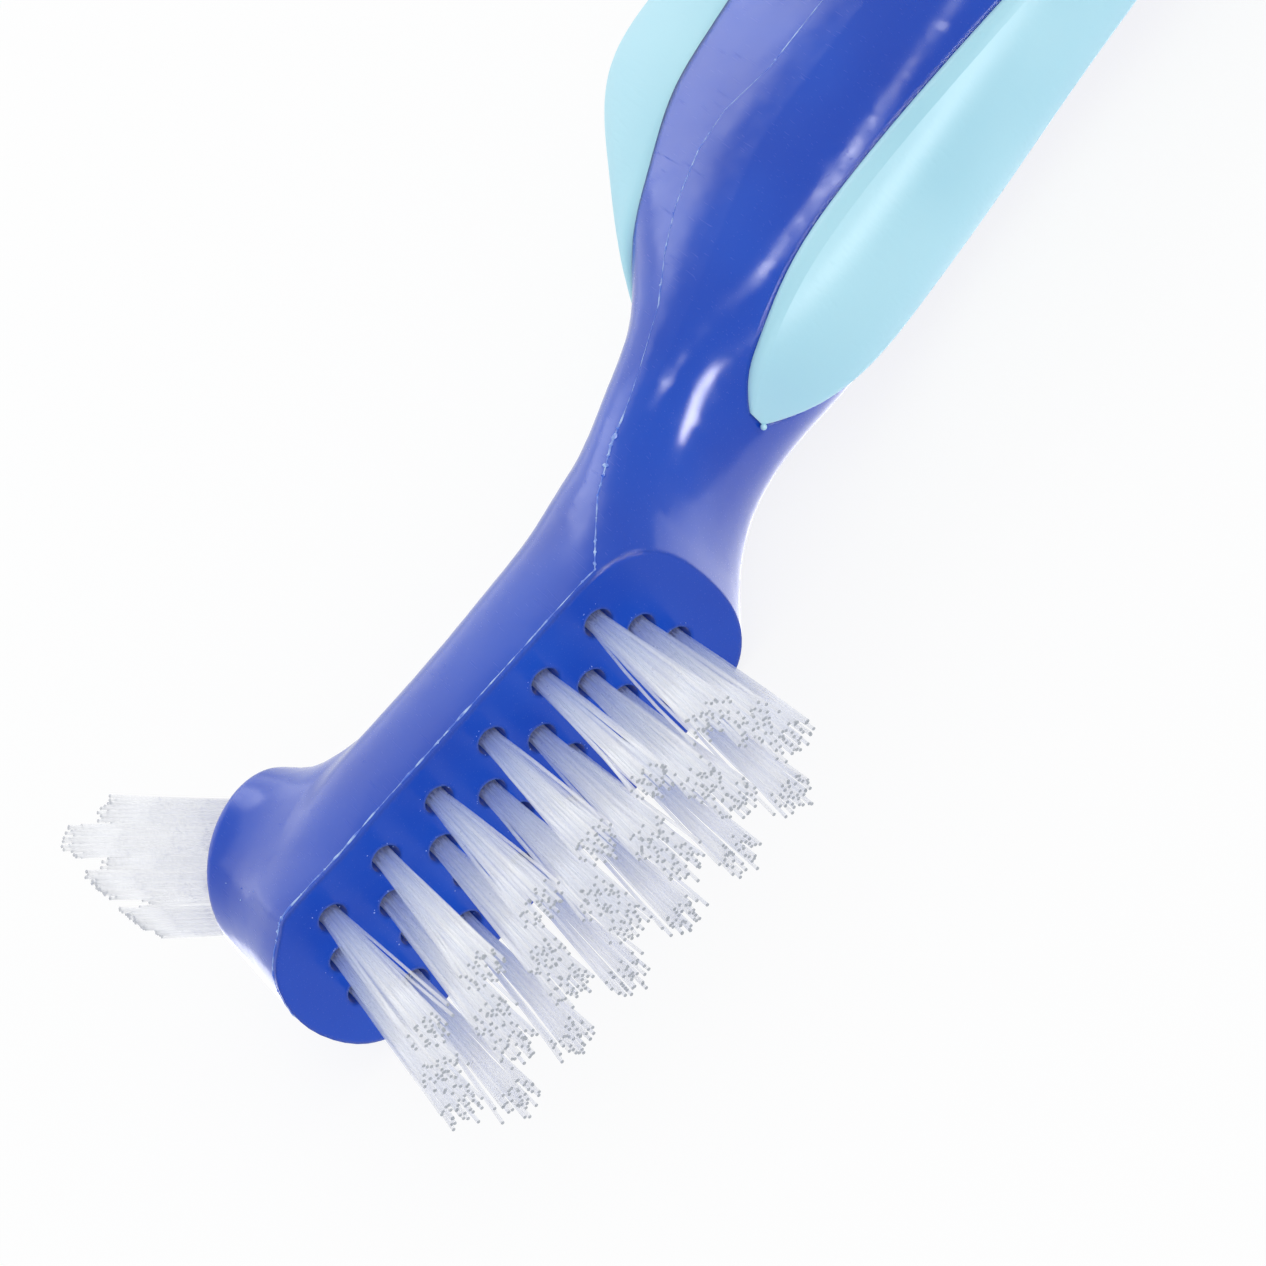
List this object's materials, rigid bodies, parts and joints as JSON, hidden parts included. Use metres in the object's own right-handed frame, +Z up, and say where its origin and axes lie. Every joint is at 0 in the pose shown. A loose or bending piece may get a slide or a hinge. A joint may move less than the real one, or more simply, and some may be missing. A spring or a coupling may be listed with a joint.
{
  "type": "denture brush",
  "caption": "Two-sided denture brush: a flat field of tufts on one side of the head, a pointed cluster on the back of its tip, and a deep moulded handle with soft grips let into both edges.",
  "frame": {"origin": "middle of the bounding box's underside, with the brush lying on its side as it comes to rest", "axes": "+X along the brush from the butt of the handle to the head, +Y the way the flat field of tufts points, +Z up, across the brush"},
  "size_m": [0.1884, 0.0586, 0.0161],
  "materials": {
    "handle_plastic": "gloss",
    "soft_grip": "satin",
    "filament": "satin",
    "anchor_wire": "satin"
  },
  "bodies": {
    "root": {"handle_body": "handle_plastic", "front_grip": "soft_grip", "back_grip": "soft_grip", "front_tuft_01": "filament", "front_tuft_02": "filament", "front_tuft_03": "filament", "front_tuft_04": "filament", "front_tuft_05": "filament", "front_tuft_06": "filament", "front_tuft_07": "filament", "front_tuft_08": "filament", "front_tuft_09": "filament", "front_tuft_10": "filament", "front_tuft_11": "filament", "front_tuft_12": "filament", "front_tuft_13": "filament", "front_tuft_14": "filament", "front_tuft_15": "filament", "front_tuft_16": "filament", "front_tuft_17": "filament", "front_tuft_18": "filament", "front_tuft_19": "filament", "front_tuft_20": "filament", "front_tuft_21": "filament", "front_tuft_22": "filament", "front_tuft_23": "filament", "front_tuft_24": "filament", "front_tuft_25": "filament", "front_tuft_26": "filament", "end_tuft_1": "filament", "end_tuft_2": "filament", "end_tuft_3": "filament", "end_tuft_4": "filament", "end_tuft_5": "filament", "end_tuft_6": "filament", "end_tuft_7": "filament", "end_tuft_8": "filament", "end_tuft_9": "filament", "front_anchors": "anchor_wire", "end_anchors": "anchor_wire"}
  },
  "joints": []
}
